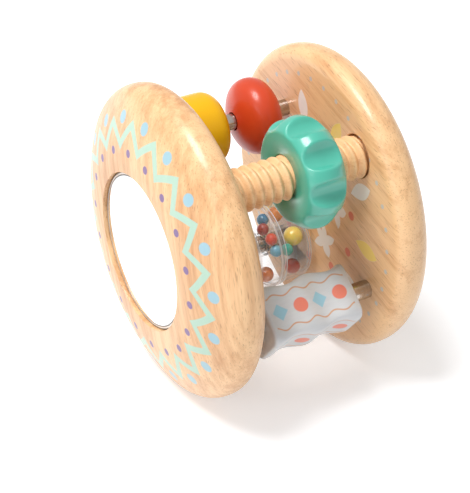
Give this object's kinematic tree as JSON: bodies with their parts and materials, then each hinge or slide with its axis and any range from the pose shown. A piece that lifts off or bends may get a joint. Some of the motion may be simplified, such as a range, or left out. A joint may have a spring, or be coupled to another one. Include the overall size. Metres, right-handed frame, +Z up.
{
  "type": "roller rattle",
  "caption": "Wooden rolling rattle: domed end discs with a set-in mirror, joined by spindles that carry sliding beads, a screw with nut, a clear drum of pellets and a turning block.",
  "frame": {"origin": "middle of the bottom of the bounding box: half way between the discs, on the floor under the roller's axis", "axes": "+X along the roller from the mirror disc to the plain disc, +Z up, +Y to the back"},
  "size_m": [0.0958, 0.12, 0.12],
  "materials": {
    "disc_wood": "satin varnish over fine open pores",
    "thread_wood": "satin, bare turned wood",
    "mirror": "polished acrylic mirror",
    "pad_foam": "matt adhesive foam",
    "steel": "polished",
    "yellow_paint": "gloss paint on wood",
    "red_paint": "gloss paint on wood",
    "teal_paint": "satin paint on wood",
    "block_paint": "satin paint on wood",
    "clear_plastic": "clear, gloss",
    "pellet_yellow": "gloss",
    "pellet_blue": "gloss",
    "pellet_maroon": "gloss",
    "pellet_red": "gloss",
    "pellet_sky": "gloss",
    "pellet_teal": "gloss",
    "pellet_orange": "gloss"
  },
  "bodies": {
    "frame": {"mirror_disc": "disc_wood", "mirror_plate": "mirror", "mirror_pad": "pad_foam", "plain_disc": "disc_wood", "bead_rod": "steel", "drum_rod": "steel", "block_pin": "steel"},
    "yellow_bead": {"yellow_bead": "yellow_paint"},
    "red_bead": {"red_bead": "red_paint"},
    "screw": {"screw": "thread_wood"},
    "nut": {"nut": "teal_paint"},
    "drum": {"drum_left_cup": "clear_plastic", "drum_right_cup": "clear_plastic"},
    "upper_pellets": {"yellow_pellet": "pellet_yellow", "blue_pellet": "pellet_blue", "maroon_pellet": "pellet_maroon", "red_pellet": "pellet_red", "sky_pellet": "pellet_sky", "teal_pellet": "pellet_teal", "orange_pellet": "pellet_orange"},
    "lower_pellets": {"low_red_pellet": "pellet_maroon", "low_orange_pellet": "pellet_orange"},
    "block": {"block": "block_paint"}
  },
  "joints": [
    {"name": "yellow_bead_slide", "type": "slide", "parent": "frame", "child": "yellow_bead", "axis": [1, 0, 0], "range_m": [-0.0059, 0.0029]},
    {"name": "red_bead_slide", "type": "slide", "parent": "frame", "child": "red_bead", "axis": [1, 0, 0], "range_m": [-0.0029, 0.0047]},
    {"name": "screw_spin", "type": "hinge", "parent": "frame", "child": "screw", "pos_m": [0, -0.02758, 0.09299], "axis": [1, 0, 0], "range_deg": [-1325, 2225]},
    {"name": "nut_slide", "type": "slide", "parent": "frame", "child": "nut", "axis": [1, 0, 0], "range_m": [-0.0237, 0.0141]},
    {"name": "drum_spin", "type": "hinge", "parent": "frame", "child": "drum", "pos_m": [0.01225, 0.01241, 0.03715], "axis": [1, 0, 0], "continuous": true},
    {"name": "upper_pellets_swing", "type": "hinge", "parent": "drum", "child": "upper_pellets", "pos_m": [0.01225, 0.01241, 0.03715], "axis": [1, 0, 0], "range_deg": [-60, 6]},
    {"name": "lower_pellets_swing", "type": "hinge", "parent": "drum", "child": "lower_pellets", "pos_m": [0.01225, 0.01241, 0.03715], "axis": [1, 0, 0], "range_deg": [-18, 110]},
    {"name": "block_spin", "type": "hinge", "parent": "frame", "child": "block", "pos_m": [-0.0019, -0.03888, 0.04162], "axis": [1, 0, 0], "continuous": true}
  ],
  "couplings": [
    {"joint": "screw_spin", "follows": "nut_slide", "rad_per_m": -1632}
  ]
}
